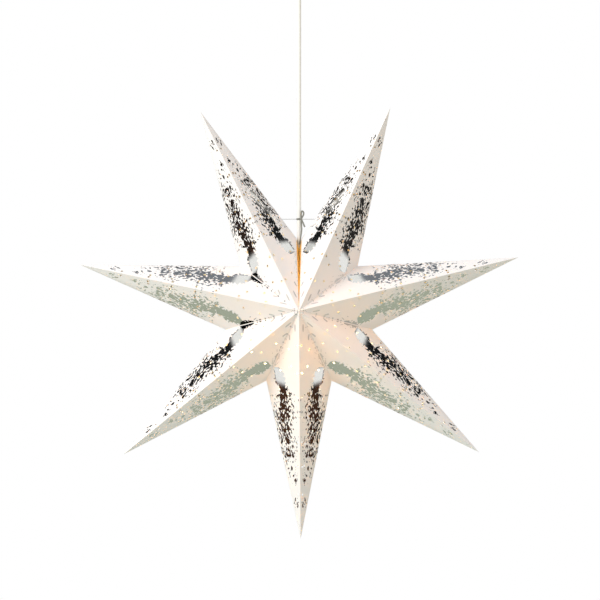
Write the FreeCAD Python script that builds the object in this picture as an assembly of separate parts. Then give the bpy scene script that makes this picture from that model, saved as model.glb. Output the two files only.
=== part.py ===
import FreeCAD
import Part
import math
import os

# Seven-pointed folded paper star that hangs as a lamp shade on a white cable,
# with its lampholder and bulb inside and its ceiling cup, hook and terminals above.
# Millimetres. The origin is the centre of the ceiling plate's face, +Z up, and the
# star's front looks along -Y.

# Star
ARMS = 7
TIP_RADIUS = 300.0
TIP_LEAN = (0.3, 0.9, 0.8, 1.8, 0.2, 0.4, 0.1)
TIP_STRETCH = (1, 2, 3, -3, -3, -1, 3)
HALF_DEPTH = 90.0
VALLEY_RADIUS = 77.7
VALLEY_DEPTH = 30.0
NOTCH_RADIUS = 101.4
BAND_PULL_DEPTH = 10.0
BAND_STEPS = 3
STAR_DROP = 510.0
SHEET_STEP = 1.9
FLANGE_WIDTH = 12.0
FLANGE_SHEET = 0.35
FLANGE_CORE = 6.0
RIDGE_TAB_WIDTH = 9.0
TOP_SEAM_GAPE = 2.1
TIE_HEIGHT = 127.0
TIE_REACH = 26.5
END_KNOT = 1.5
BOW_KNOT = 1.7

# Cable and tie string
CABLE_RADIUS = 2.8
CABLE_TOP = -38.0
RUNNING_GAP = 0.05
STRING_RADIUS = 0.5

# Lampholder, heights from the star's centre
HOLDER_RADIUS = 14.0
HOLDER_TOP = 68.0
HOLDER_SPLIT = 50.0
HOLDER_BOTTOM = 22.0
HOLDER_WALL = 1.6
HOLDER_DOME = 6.0
HOLDER_NECK = 5.0
HOLDER_GROOVES = 24
GRIP_TOP = 80.0
SHELL_RADIUS = 7.5
SHELL_WALL = 0.4
BULB_PLAY = 0.3

# Bulb
GLOBE_RADIUS = 22.5
GLOBE_CENTRE = -20.0
GLOBE_WALL = 1.0

# Ceiling fitting
PLATE_RADIUS = 35.0
PLATE_THICKNESS = 1.5
PLATE_SCREW_SPACING = 50.0
PLATE_SCREW_HOLE = 2.25
SUPPLY_HOLE = 6.0
HOOK_WIRE = 1.75
HOOK_BEND = 2.5
HOOK_LOOP = 6.75
HOOK_SHANK_END = -5.5
EYE_RADIUS = 4.5
EYE_RIM = 8.0
EYE_WIDTH = 4.0
CUP_TOP = -6.0
CUP_BOTTOM = -66.0
CUP_TOP_RADIUS = 46.0
CUP_BOTTOM_RADIUS = 34.0
CUP_WALL = 1.6
CUP_ROUNDING = 12.0
CUP_HOLE = 5.0
CORE_RADIUS = 1.1
TERMINAL_PITCH = 8.0

V = FreeCAD.Vector
UP = V(0, 0, 1)
SECTOR = 360.0 / ARMS
HOOK_CENTRE = HOOK_SHANK_END - HOOK_BEND - HOOK_LOOP
PIVOT = HOOK_CENTRE - HOOK_LOOP


def save(name, shape):
    """Write one piece to its own file and report its size."""
    if not shape.isValid():
        print("not valid:", name)
    box = shape.BoundBox
    shape.exportStep(os.path.join("parts", name + ".step"))
    size = (round(box.XLength, 1), round(box.YLength, 1), round(box.ZLength, 1))
    print(name, "solids", len(shape.Solids), "volume", round(shape.Volume, 1), "size", size)


def rod(radius, low, high, x=0.0, y=0.0):
    """Upright round bar between two heights."""
    return Part.makeCylinder(radius, high - low, V(x, y, low), UP)


def block(x0, x1, y0, y1, z0, z1):
    """Box between two corners."""
    return Part.makeBox(x1 - x0, y1 - y0, z1 - z0, V(x0, y0, z0))


def turned(points):
    """Solid turned about the Z axis from a closed outline of (radius, height)."""
    outline = [V(r, 0, z) for r, z in points]
    face = Part.Face(Part.makePolygon(outline + [outline[0]]))
    return face.revolve(V(0, 0, 0), UP, 360)


def flat_face(points):
    """Plane face through a ring of points."""
    return Part.Face(Part.makePolygon(points + [points[0]]))


def rounded_path(points, radii):
    """Straight runs through the points, joined by tangent arcs; radius 0 keeps a corner sharp."""
    edges = []
    start = points[0]
    for before, corner, after, radius in zip(points, points[1:], points[2:], radii):
        back = (before - corner).normalize()
        ahead = (after - corner).normalize()
        if radius <= 0:
            edges.append(Part.LineSegment(start, corner).toShape())
            start = corner
            continue
        half = back.getAngle(ahead) / 2
        reach = radius / math.tan(half)
        first = corner + back * reach
        last = corner + ahead * reach
        middle_way = (back + ahead).normalize()
        middle = corner + middle_way * (radius / math.sin(half) - radius)
        edges.append(Part.LineSegment(start, first).toShape())
        edges.append(Part.Arc(first, middle, last).toShape())
        start = last
    edges.append(Part.LineSegment(start, points[-1]).toShape())
    return Part.Wire(edges)


def tube(points, radius, radii):
    """Round bar along a path of runs and arcs: a cylinder for each run, a bend for each arc."""
    path = rounded_path(points, radii)
    pieces = []
    for edge in path.Edges:
        start = edge.valueAt(edge.FirstParameter)
        way = edge.tangentAt(edge.FirstParameter)
        disc = Part.Face(Part.Wire([Part.Circle(start, way, radius).toShape()]))
        if isinstance(edge.Curve, Part.Line):
            pieces.append(disc.extrude(edge.valueAt(edge.LastParameter) - start))
        else:
            turn = math.degrees(edge.Length / edge.Curve.Radius)
            axis = way.cross(edge.Curve.Center - start)
            pieces.append(disc.revolve(edge.Curve.Center, axis, turn))
    solid = pieces[0]
    for piece in pieces[1:]:
        solid = solid.fuse(piece)
    expected = math.pi * radius ** 2 * path.Length
    print("tube radii", radii, "volume ratio", round(solid.Volume / expected, 4))
    return solid


def rounded_turn(points, radii):
    """Solid turned about Z from an outline whose inner corners are rounded."""
    chain = rounded_path([V(r, 0, z) for r, z in points], radii)
    closing = Part.LineSegment(V(points[-1][0], 0, points[-1][1]), V(points[0][0], 0, points[0][1]))
    outline = Part.Wire(chain.Edges + [closing.toShape()])
    return Part.Face(outline).revolve(V(0, 0, 0), UP, 360)


# The star: seven folded sheets glued along their seams

def star_point(radius, angle, depth):
    """Place in the star from distance to its centre, angle in its plane and depth."""
    turn = math.radians(angle)
    return V(radius * math.cos(turn), -depth, radius * math.sin(turn) - STAR_DROP)


def seam_profile():
    """Cut edge of a sheet in its seam plane, from the front centre to the back centre."""
    front = [(0.0, HALF_DEPTH)]
    for step in range(BAND_STEPS + 1):
        share = step / BAND_STEPS
        left = 1 - share
        radius = left ** 2 * VALLEY_RADIUS + (1 - left ** 2) * NOTCH_RADIUS
        depth = left ** 2 * VALLEY_DEPTH + 2 * share * left * BAND_PULL_DEPTH
        front.append((radius, depth))
    back = [(radius, -depth) for radius, depth in front[-2::-1]]
    return front + back


def arm_wedge(tip, right_seam, left_seam):
    """Solid space that one arm takes, from the star's axis to its tip."""
    faces = []
    for seam in (right_seam, left_seam):
        edge = [star_point(radius, seam, depth) for radius, depth in seam_profile()]
        faces.append(flat_face(edge))
        for low, high in zip(edge, edge[1:]):
            faces.append(flat_face([low, high, tip]))
    return Part.makeSolid(Part.makeShell(faces))


def glue_flange(seam, inward):
    """Strip folded in along one seam, where the next sheet is glued on."""
    valley_slope = (HALF_DEPTH - VALLEY_DEPTH) / VALLEY_RADIUS
    core_depth = HALF_DEPTH - valley_slope * FLANGE_CORE
    outer = [(FLANGE_CORE, core_depth)] + seam_profile()[1:-1] + [(FLANGE_CORE, -core_depth)]
    drop = FLANGE_WIDTH * math.hypot(1, valley_slope)
    inner = [
        (FLANGE_CORE, core_depth - drop),
        (VALLEY_RADIUS - 0.3 * FLANGE_WIDTH, VALLEY_DEPTH - 0.95 * FLANGE_WIDTH),
        (NOTCH_RADIUS - FLANGE_WIDTH, 0.0),
        (VALLEY_RADIUS - 0.3 * FLANGE_WIDTH, 0.95 * FLANGE_WIDTH - VALLEY_DEPTH),
        (FLANGE_CORE, drop - core_depth),
    ]
    ring = [star_point(radius, seam, depth) for radius, depth in outer + inner[::-1]]
    return flat_face(ring).extrude(inward * FLANGE_SHEET)


def ridge_tab(tip_angle):
    """Glue strip inside the back ridge, where the folded sheet closes on itself."""
    near = 30.0
    far = 230.0
    slope = HALF_DEPTH / TIP_RADIUS
    sink = 0.2
    edge_near = -(HALF_DEPTH - slope * near) + sink
    edge_far = -(HALF_DEPTH - slope * far) + sink
    corners = [
        star_point(near, tip_angle, edge_near),
        star_point(far, tip_angle, edge_far),
        star_point(far - RIDGE_TAB_WIDTH, tip_angle, edge_far + RIDGE_TAB_WIDTH * 0.7),
        star_point(near + RIDGE_TAB_WIDTH, tip_angle, edge_near + RIDGE_TAB_WIDTH),
    ]
    turn = math.radians(tip_angle)
    across = V(-math.sin(turn), 0, math.cos(turn))
    return flat_face(corners).extrude(across * FLANGE_SHEET)


def paper_arm(index):
    """One folded sheet: two sloping fronts, two backs, side bands, flanges and tab."""
    tip_angle = -90 + index * SECTOR
    right_seam = tip_angle - SECTOR / 2
    left_seam = tip_angle + SECTOR / 2
    if index == ARMS // 2:
        left_seam -= TOP_SEAM_GAPE
    if index == ARMS // 2 + 1:
        right_seam += TOP_SEAM_GAPE
    tip_angle += TIP_LEAN[index]
    turn = math.radians(tip_angle)
    along = V(math.cos(turn), 0, math.sin(turn))
    tip = star_point(TIP_RADIUS + TIP_STRETCH[index], tip_angle, 0)
    outside = arm_wedge(tip, right_seam, left_seam)
    inside = outside.copy()
    inside.translate(along * -SHEET_STEP)
    sheet = outside.cut(inside)
    right = math.radians(right_seam)
    left = math.radians(left_seam)
    pieces = [
        glue_flange(right_seam, V(-math.sin(right), 0, math.cos(right))),
        glue_flange(left_seam, V(math.sin(left), 0, -math.cos(left))),
        ridge_tab(tip_angle),
    ]
    sheet = sheet.fuse(pieces).common(outside)
    if index == ARMS // 2:
        sheet = sheet.cut(tie_hole(1))
    if index == ARMS // 2 + 1:
        sheet = sheet.cut(tie_hole(-1))
    return sheet


def tie_hole(side):
    """Punched hole in an upper arm's side, where the tie string goes through."""
    height = TIE_HEIGHT - STAR_DROP
    return Part.makeCylinder(STRING_RADIUS + 0.2, 30, V(side * 12, 0, height), V(side, 0, 0))


def ball(centre, radius):
    """Round knot."""
    return Part.makeSphere(radius, centre)


def tie_string():
    """Cotton string from one upper arm round the cable to the other, tied in a bow."""
    height = TIE_HEIGHT - STAR_DROP
    inner = CABLE_RADIUS + RUNNING_GAP
    turn_radius = inner + STRING_RADIUS
    outer = turn_radius + STRING_RADIUS
    whole = turned([
        (inner, height - 2 * STRING_RADIUS),
        (turn_radius, height - 2 * STRING_RADIUS),
        (outer, height - STRING_RADIUS),
        (turn_radius + 0.3, height),
        (outer, height + STRING_RADIUS),
        (turn_radius, height + 2 * STRING_RADIUS),
        (inner, height + 2 * STRING_RADIUS),
    ])
    for side in (-1, 1):
        start = V(side * turn_radius, 0, height)
        run = Part.makeCylinder(STRING_RADIUS, TIE_REACH - turn_radius, start, V(side, 0, 0))
        whole = whole.fuse(run).fuse(ball(V(side * TIE_REACH, 0, height), END_KNOT))
    front = -(outer + BOW_KNOT - 0.4)
    heart = V(2.9, front, height)
    link = Part.makeCylinder(STRING_RADIUS, -front - inner, V(2.0, -inner, height), V(0, -1, 0))
    whole = whole.fuse(link).fuse(ball(heart, BOW_KNOT))
    loop = [heart, V(2.9, front, height + 13.5), V(11.5, front, height + 10.5), heart]
    long_tail = [heart, V(4.4, front, height - 15.0), V(0.6, front, height - 30.0)]
    whole = whole.fuse(tube(loop, STRING_RADIUS, [3.0, 2.0]))
    whole = whole.fuse(tube([heart, V(7.4, front, height - 9.5)], STRING_RADIUS, []))
    return whole.fuse(tube(long_tail, STRING_RADIUS, [9.0]))


# Cable, lampholder and bulb

def cable():
    """Round two-core cable, pulled straight by the star's weight."""
    low = HOLDER_TOP - STAR_DROP
    return rod(CABLE_RADIUS, low, CABLE_TOP)


def holder_shells():
    """Domed cap and grooved skirt of the lampholder."""
    top = HOLDER_TOP - STAR_DROP
    split = HOLDER_SPLIT - STAR_DROP
    bottom = HOLDER_BOTTOM - STAR_DROP
    lip = HOLDER_RADIUS - HOLDER_WALL
    bore = CABLE_RADIUS + RUNNING_GAP
    cap = rounded_turn([
        (bore, top),
        (HOLDER_NECK, top),
        (HOLDER_RADIUS, top - 3.5),
        (HOLDER_RADIUS, split),
        (lip, split),
        (lip, top - 3.5 - HOLDER_WALL),
        (bore, top - HOLDER_WALL),
    ], [0, HOLDER_DOME, 0, 0, HOLDER_DOME - HOLDER_WALL])
    skirt = rounded_turn([
        (lip, split),
        (HOLDER_RADIUS, split),
        (HOLDER_RADIUS, bottom),
        (SHELL_RADIUS + 2.5, bottom),
        (SHELL_RADIUS + 2.5, bottom + 2),
        (lip, bottom + 4),
    ], [0, 1.2, 0, 0])
    grooves = []
    for index in range(HOLDER_GROOVES):
        turn = math.tau * index / HOLDER_GROOVES
        x = HOLDER_RADIUS * math.cos(turn)
        y = HOLDER_RADIUS * math.sin(turn)
        grooves.append(rod(0.5, bottom + 4, split - 4, x, y))
    save("holder_cap", cap)
    save("holder_skirt", skirt.cut(grooves))


def holder_contacts():
    """Insulating block across the holder, with the thread shell and the centre contact under it."""
    split = HOLDER_SPLIT - STAR_DROP
    bottom = HOLDER_BOTTOM - STAR_DROP
    lip = HOLDER_RADIUS - HOLDER_WALL
    floor = split - 6
    insert = turned([
        (1.6, split + 3),
        (lip, split + 3),
        (lip, floor),
        (SHELL_RADIUS, floor),
        (SHELL_RADIUS, floor - 1),
        (1.6, floor - 1),
    ])
    for side in (-1, 1):
        insert = insert.cut(rod(2.2, split - 2, split + 3, side * 7.5))
    shell = turned([
        (SHELL_RADIUS, floor - 1),
        (SHELL_RADIUS, bottom + 3),
        (SHELL_RADIUS + 0.8, bottom + 2.4),
        (SHELL_RADIUS + 0.5, bottom + 2.1),
        (SHELL_RADIUS - SHELL_WALL, bottom + 2.9),
        (SHELL_RADIUS - SHELL_WALL, floor - 1),
    ])
    contact = rod(1.6, floor - 1, split + 3)
    leaf_low = floor - 2.6
    leaf = turned([(0, floor - 1), (3.2, floor - 1), (3.2, floor - 1.5), (1.2, leaf_low), (0, leaf_low)])
    save("contact_block", insert)
    save("thread_shell", shell)
    save("centre_contact", contact.fuse(leaf))
    return leaf_low


def cable_grip():
    """Sleeve on the holder's cap that grips the cable, with its side screw."""
    low = HOLDER_TOP - STAR_DROP
    top = GRIP_TOP - STAR_DROP
    bore = CABLE_RADIUS + RUNNING_GAP
    grip = turned([
        (bore, top),
        (HOLDER_NECK - 1.2, top),
        (HOLDER_NECK, top - 1.2),
        (HOLDER_NECK, top - 5),
        (HOLDER_NECK + 1.5, top - 6),
        (HOLDER_NECK + 1.5, low),
        (bore, low),
    ])
    spanner_flats = rod(20, low, top - 5.2).cut(block(-5.5, 5.5, -20, 20, low, top - 5.2))
    screw_height = top - 3.2
    screw_hole = Part.makeCylinder(1.2, 8, V(0, bore, screw_height), V(0, 1, 0))
    screw = Part.makeCylinder(1.15, HOLDER_NECK - bore - 0.1, V(0, bore, screw_height), V(0, 1, 0))
    slot = block(-1.2, 1.2, HOLDER_NECK - 0.7, HOLDER_NECK, screw_height - 0.2, screw_height + 0.2)
    save("cable_grip", grip.cut(spanner_flats).cut(screw_hole))
    save("grip_screw", screw.cut(slot))


def bulb(contact_height):
    """Opal globe bulb: globe, plastic housing, thread cap, tip and lighting disc."""
    tip = contact_height - BULB_PLAY
    cap_top = tip - 1.6
    cap_low = cap_top - 15.5
    radius = SHELL_RADIUS - SHELL_WALL - BULB_PLAY
    centre = GLOBE_CENTRE - STAR_DROP
    neck = 11.0
    neck_height = centre + math.sqrt(GLOBE_RADIUS ** 2 - neck ** 2)
    inner = GLOBE_RADIUS - GLOBE_WALL
    inner_neck = neck - GLOBE_WALL
    inner_height = centre + math.sqrt(inner ** 2 - inner_neck ** 2)
    half_way = (math.acos(neck / GLOBE_RADIUS) - math.pi / 2) / 2
    side = V(GLOBE_RADIUS * math.cos(half_way), 0, centre + GLOBE_RADIUS * math.sin(half_way))
    outer_arc = Part.Arc(V(neck, 0, neck_height), side, V(0, 0, centre - GLOBE_RADIUS)).toShape()
    bottom_edge = Part.LineSegment(V(0, 0, centre - GLOBE_RADIUS), V(0, 0, centre - inner)).toShape()
    inner_side = V(inner * math.cos(half_way), 0, centre + inner * math.sin(half_way))
    inner_arc = Part.Arc(V(0, 0, centre - inner), inner_side, V(inner_neck, 0, inner_height)).toShape()
    rim_out = Part.LineSegment(V(neck, 0, neck_height + 3), V(neck, 0, neck_height)).toShape()
    rim_top = Part.LineSegment(V(inner_neck, 0, neck_height + 3), V(neck, 0, neck_height + 3)).toShape()
    rim_in = Part.LineSegment(V(inner_neck, 0, inner_height), V(inner_neck, 0, neck_height + 3)).toShape()
    outline = Part.Wire([rim_top, rim_out, outer_arc, bottom_edge, inner_arc, rim_in])
    globe = Part.Face(outline).revolve(V(0, 0, 0), UP, 360)
    collar = cap_low
    housing = turned([
        (0, cap_top - 3),
        (radius - 0.3, cap_top - 3),
        (radius - 0.3, collar),
        (radius + 0.2, collar - 0.4),
        (neck + 1, neck_height + 5),
        (neck + 1, neck_height + 1),
        (neck + RUNNING_GAP, neck_height + 1),
        (neck + RUNNING_GAP, neck_height + 3),
        (inner_neck - RUNNING_GAP, neck_height + 3),
        (inner_neck - RUNNING_GAP, neck_height),
        (0, neck_height),
    ])
    cap = turned([
        (radius - 0.3, collar),
        (radius, collar),
        (radius, cap_top - 1.2),
        (radius - 2.2, cap_top),
        (1.8, cap_top),
        (1.8, cap_top - 0.3),
        (radius - 2.4, cap_top - 0.3),
        (radius - 0.3, cap_top - 1.5),
    ])
    button = turned([(0, tip), (1.0, tip - 0.2), (1.8, tip - 1.0), (1.8, cap_top - 0.3), (0, cap_top - 0.3)])
    disc = rod(inner_neck - 1.5, neck_height - 1.2, neck_height)
    chips = 6
    for index in range(chips):
        turn = math.tau * index / chips
        chip = block(-1.4, 1.4, -1.4, 1.4, neck_height - 1.8, neck_height - 1.2)
        chip.translate(V(5.2 * math.cos(turn), 5.2 * math.sin(turn), 0))
        disc = disc.fuse(chip)
    save("bulb_globe", globe)
    save("bulb_housing", housing)
    save("bulb_cap", cap)
    save("bulb_tip", button)
    save("bulb_led_disc", disc)


# Ceiling fitting

def ceiling_plate():
    """Pressed steel disc with two screw holes, the hook's hole and the supply hole."""
    plate = turned([
        (0, 0),
        (PLATE_RADIUS, 0),
        (PLATE_RADIUS, -PLATE_THICKNESS - 2.5),
        (PLATE_RADIUS - PLATE_THICKNESS, -PLATE_THICKNESS - 2.5),
        (PLATE_RADIUS - PLATE_THICKNESS, -PLATE_THICKNESS),
        (0, -PLATE_THICKNESS),
    ])
    for side in (-1, 1):
        plate = plate.cut(rod(PLATE_SCREW_HOLE, -10, 5, side * PLATE_SCREW_SPACING / 2))
    plate = plate.cut(rod(SUPPLY_HOLE, -10, 5, 0, 20))
    return plate.cut(rod(HOOK_WIRE + RUNNING_GAP, -10, 5, 0, -HOOK_BEND))


def ceiling_hook():
    """Open hook bent from round wire, its bottom straight under the plate's centre."""
    top = V(0, -HOOK_BEND, -0.2)
    bend_start = V(0, -HOOK_BEND, HOOK_SHANK_END)
    corner = HOOK_BEND * (1 - math.sqrt(0.5))
    bend_middle = V(0, -HOOK_BEND + corner, HOOK_SHANK_END - HOOK_BEND + corner)
    bend_end = V(0, 0, HOOK_SHANK_END - HOOK_BEND)

    def round_loop(angle):
        turn = math.radians(angle)
        return V(0, HOOK_LOOP * math.cos(turn), HOOK_CENTRE + HOOK_LOOP * math.sin(turn))

    path = Part.Wire([
        Part.LineSegment(top, bend_start).toShape(),
        Part.Arc(bend_start, bend_middle, bend_end).toShape(),
        Part.Arc(round_loop(90), round_loop(0), round_loop(-90)).toShape(),
        Part.Arc(round_loop(-90), round_loop(-130), round_loop(-170)).toShape(),
    ])
    ring = Part.Wire([Part.Circle(top, UP, HOOK_WIRE).toShape()])
    return path.makePipeShell([ring], True, True)


def hook_nut():
    """Hexagon nut that holds the hook's shank under the plate."""
    low = -PLATE_THICKNESS - 3.2
    corners = []
    for index in range(6):
        turn = math.tau * index / 6
        corners.append(V(4.04 * math.cos(turn), 4.04 * math.sin(turn) - HOOK_BEND, low))
    nut = flat_face(corners).extrude(UP * 3.2)
    return nut.cut(rod(HOOK_WIRE + RUNNING_GAP, -10, 5, 0, -HOOK_BEND))


def cord_hanger():
    """Plastic hanger: an eye on the hook above and a clamped cable bore below."""
    bar_low = PIVOT + HOOK_WIRE + 0.3
    eye_centre = bar_low - EYE_RADIUS
    half = EYE_WIDTH / 2
    chamfer = 1.0
    eye = Part.makeCylinder(EYE_RIM, EYE_WIDTH, V(0, -half, eye_centre), V(0, 1, 0))
    low = -50.0
    high = eye_centre - EYE_RADIUS - 1.5
    body = block(-8, 8, -6, 6, low, high)
    body = body.makeFillet(2.0, [edge for edge in body.Edges if edge.BoundBox.ZLength > 5])
    eye = eye.fuse(body)
    eye = eye.cut(Part.makeCylinder(EYE_RADIUS, EYE_WIDTH, V(0, -half, eye_centre), V(0, 1, 0)))
    for side in (-1, 1):
        cone = Part.makeCone(EYE_RADIUS, EYE_RADIUS + 2 * chamfer, 2 * chamfer,
                             V(0, side * (half - chamfer), eye_centre), V(0, side, 0))
        eye = eye.cut(cone)
    bore = rod(CABLE_RADIUS + RUNNING_GAP, low - 1, CABLE_TOP)
    window = block(-9, 3.4, -3.6, 3.6, CABLE_TOP, high - 1.6)
    thread = Part.makeCylinder(2.05, 10, V(CABLE_RADIUS, 0, low + 5), V(1, 0, 0))
    return eye.cut(bore).cut(window).cut(thread)


def clamp_screw():
    """Plastic screw through the hanger's side that grips the cable."""
    height = -45.0
    screw = Part.makeCylinder(2.0, 8 - CABLE_RADIUS, V(CABLE_RADIUS + RUNNING_GAP, 0, height), V(1, 0, 0))
    head = Part.makeCylinder(3.4, 2.2, V(8, 0, height), V(1, 0, 0))
    slot = block(9.2, 11, -4, 4, height - 0.5, height + 0.5)
    return screw.fuse(head).cut(slot)


def terminals():
    """Two-pole connector: plastic block, brass tubes and clamp screws."""
    centre = -17.0
    low = -28.0
    high = -10.0
    body = block(centre - 6, centre + 6, -8.5, 8.5, low, high)
    body = body.makeFillet(1.2, [edge for edge in body.Edges if edge.BoundBox.ZLength > 5])
    tubes = []
    screws = []
    for side in (-1, 1):
        y = side * TERMINAL_PITCH / 2
        body = body.cut(rod(2.4, low, high, centre, y))
        tube_body = rod(2.4, low + 1.5, high - 1.5, centre, y).cut(rod(1.6, low, high, centre, y))
        for z in (low + 5, high - 5):
            well = Part.makeCylinder(1.9, 7, V(centre - 7, y, z), V(1, 0, 0))
            body = body.cut(well)
            thread = Part.makeCylinder(1.25, 3, V(centre - 3, y, z), V(1, 0, 0))
            tube_body = tube_body.cut(thread)
            screw = Part.makeCylinder(1.25, 2.9, V(centre - 4.0, y, z), V(1, 0, 0))
            head = Part.makeCylinder(1.8, 1.4, V(centre - 5.4, y, z), V(1, 0, 0))
            slot = block(centre - 5.5, centre - 4.8, y - 2, y + 2, z - 0.3, z + 0.3)
            screws.append(screw.fuse(head).cut(slot))
        tubes.append(tube_body)
    save("terminal_block", body)
    save("terminal_tubes", Part.makeCompound(tubes))
    save("terminal_screws", Part.makeCompound(screws))


def core_wire(side):
    """One insulated core from the cable's end into the terminal block."""
    y_low = side * 1.3
    y_high = side * TERMINAL_PITCH / 2
    run = CABLE_TOP + 3.6
    points = [
        V(0, y_low, CABLE_TOP),
        V(0, y_low, run),
        V(-8, y_low, run),
        V(-17, y_high, run - 1.0),
        V(-17, y_high, -24.5),
    ]
    return tube(points, CORE_RADIUS, [2.2, 9.0, 3.0])


def ceiling_cup():
    """Moulded plastic cup, open towards the ceiling, with a hole for the cable lock."""
    wall = CUP_WALL
    return rounded_turn([
        (CUP_TOP_RADIUS - wall, CUP_TOP),
        (CUP_TOP_RADIUS, CUP_TOP),
        (CUP_TOP_RADIUS, CUP_TOP - 3),
        (CUP_BOTTOM_RADIUS + 2, CUP_BOTTOM),
        (CUP_HOLE, CUP_BOTTOM),
        (CUP_HOLE, CUP_BOTTOM + wall),
        (CUP_BOTTOM_RADIUS + 2 - wall, CUP_BOTTOM + wall),
        (CUP_TOP_RADIUS - wall, CUP_TOP - 3),
    ], [0, CUP_ROUNDING, CUP_ROUNDING, 0, 0, CUP_ROUNDING - wall])


def cable_lock():
    """Plastic sleeve in the cup's hole that holds the cup up on the cable."""
    bore = CABLE_RADIUS + RUNNING_GAP
    sleeve = turned([
        (bore, CUP_BOTTOM + CUP_WALL + 5),
        (4.95, CUP_BOTTOM + CUP_WALL + 5),
        (4.95, CUP_BOTTOM),
        (6.5, CUP_BOTTOM),
        (6.5, CUP_BOTTOM - 7),
        (5.3, CUP_BOTTOM - 9),
        (bore, CUP_BOTTOM - 9),
    ])
    hole = Part.makeCylinder(1.3, 8, V(bore - 0.5, 0, CUP_BOTTOM - 4), V(1, 0, 0))
    return sleeve.cut(hole)


def lock_screw():
    """Grub screw in the cable lock."""
    start = CABLE_RADIUS + 2 * RUNNING_GAP
    screw = Part.makeCylinder(1.25, 6.3 - start, V(start, 0, CUP_BOTTOM - 4), V(1, 0, 0))
    return screw.cut(block(5.6, 7, -2, 2, CUP_BOTTOM - 4.2, CUP_BOTTOM - 3.8))


def lock_nut():
    """Nut inside the cup that pulls the cable lock tight."""
    low = CUP_BOTTOM + CUP_WALL
    nut = rod(8.0, low, low + 3).cut(rod(4.95, low - 1, low + 4))
    notches = 8
    for index in range(notches):
        turn = math.tau * index / notches
        nut = nut.cut(rod(0.9, low - 1, low + 4, 8.2 * math.cos(turn), 8.2 * math.sin(turn)))
    return nut


ARM_NAMES = ["bottom", "lower_right", "right", "upper_right", "upper_left", "left", "lower_left"]


def build():
    """Make every piece of the lamp."""
    os.makedirs("parts", exist_ok=True)
    for index, name in enumerate(ARM_NAMES):
        save("arm_" + name, paper_arm(index))
    save("cable", cable())
    save("tie_string", tie_string())
    holder_shells()
    cable_grip()
    bulb(holder_contacts())
    save("ceiling_plate", ceiling_plate())
    save("ceiling_hook", ceiling_hook())
    save("hook_nut", hook_nut())
    save("cord_hanger", cord_hanger())
    save("clamp_screw", clamp_screw())
    terminals()
    save("core_wire_live", core_wire(-1))
    save("core_wire_neutral", core_wire(1))
    save("ceiling_cup", ceiling_cup())
    save("cable_lock", cable_lock())
    save("lock_screw", lock_screw())
    save("lock_nut", lock_nut())


build()
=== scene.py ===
import bpy
import math
import random
from mathutils import Matrix, Vector


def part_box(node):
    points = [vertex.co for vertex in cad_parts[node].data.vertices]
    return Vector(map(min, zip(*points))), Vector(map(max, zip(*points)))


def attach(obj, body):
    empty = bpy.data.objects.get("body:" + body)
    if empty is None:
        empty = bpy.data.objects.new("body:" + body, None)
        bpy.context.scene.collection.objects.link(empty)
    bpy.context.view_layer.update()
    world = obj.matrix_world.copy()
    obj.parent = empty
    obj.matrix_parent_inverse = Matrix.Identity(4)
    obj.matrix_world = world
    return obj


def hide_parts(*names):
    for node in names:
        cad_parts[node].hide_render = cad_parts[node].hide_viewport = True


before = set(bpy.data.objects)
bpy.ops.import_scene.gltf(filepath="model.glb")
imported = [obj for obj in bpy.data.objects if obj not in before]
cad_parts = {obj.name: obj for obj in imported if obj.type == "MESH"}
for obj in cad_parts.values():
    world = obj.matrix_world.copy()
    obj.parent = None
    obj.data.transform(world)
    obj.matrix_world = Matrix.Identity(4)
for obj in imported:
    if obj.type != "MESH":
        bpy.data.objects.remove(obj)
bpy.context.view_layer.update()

# Camera
# A long lens a little below the star and nearly square to its front: 600 pixels span
# 0.811 m at the star, and the star's centre lands at pixel (299, 313).
STAR_CENTRE = Vector((0.0, 0.0, -0.510))
PIXEL = 0.001351
CENTRE_PIXEL = (299, 313)
FRAME_PIXELS = 600
CAMERA_DISTANCE = 6.0
CAMERA_LOOKS_UP = math.radians(2.1)
SENSOR = 0.036
camera_data = bpy.data.cameras.new("camera")
camera_data.sensor_width = SENSOR * 1000
camera_data.lens = SENSOR * 1000 * CAMERA_DISTANCE / (PIXEL * FRAME_PIXELS)
camera_data.clip_end = 50.0
camera = bpy.data.objects.new("camera", camera_data)
bpy.context.scene.collection.objects.link(camera)
look = Vector((0, math.cos(CAMERA_LOOKS_UP), math.sin(CAMERA_LOOKS_UP)))
upwards = Vector((0, -math.sin(CAMERA_LOOKS_UP), math.cos(CAMERA_LOOKS_UP)))
beside = Vector((FRAME_PIXELS / 2 - CENTRE_PIXEL[0], 0, 0)) * PIXEL
above = upwards * (CENTRE_PIXEL[1] - FRAME_PIXELS / 2) * PIXEL
camera.location = STAR_CENTRE - look * CAMERA_DISTANCE + beside + above
camera.rotation_euler = (math.pi / 2 + CAMERA_LOOKS_UP, 0, 0)
bpy.context.scene.camera = camera
bpy.ops.object.select_all(action="DESELECT")

# White lamp cable
# Round PVC sheath over two cores, pulled straight by the star's weight between
# the hanger's clamp and the grip on the lampholder.


def linear(code):
    """sRGB hex value as linear colour with full alpha."""
    parts = [int(code[i:i + 2], 16) / 255 for i in (1, 3, 5)]
    out = [p / 12.92 if p <= 0.04045 else ((p + 0.055) / 1.055) ** 2.4 for p in parts]
    return (*out, 1.0)


def add_node(tree, kind, settings=None, **inputs):
    """One node, its settings, and its inputs by socket name, or by number as _0, from values or links."""
    made = tree.nodes.new(kind)
    for key, value in (settings or {}).items():
        setattr(made, key, value)
    for key, value in inputs.items():
        socket = made.inputs[int(key[1:]) if key[1:].isdigit() else key.replace("_", " ")]
        if isinstance(value, bpy.types.NodeSocket):
            tree.links.new(value, socket)
        else:
            socket.default_value = value
    return made


def new_material(name):
    """Empty node material and its tree."""
    made = bpy.data.materials.new(name)
    made.use_nodes = True
    made.node_tree.nodes.clear()
    return made, made.node_tree


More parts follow.
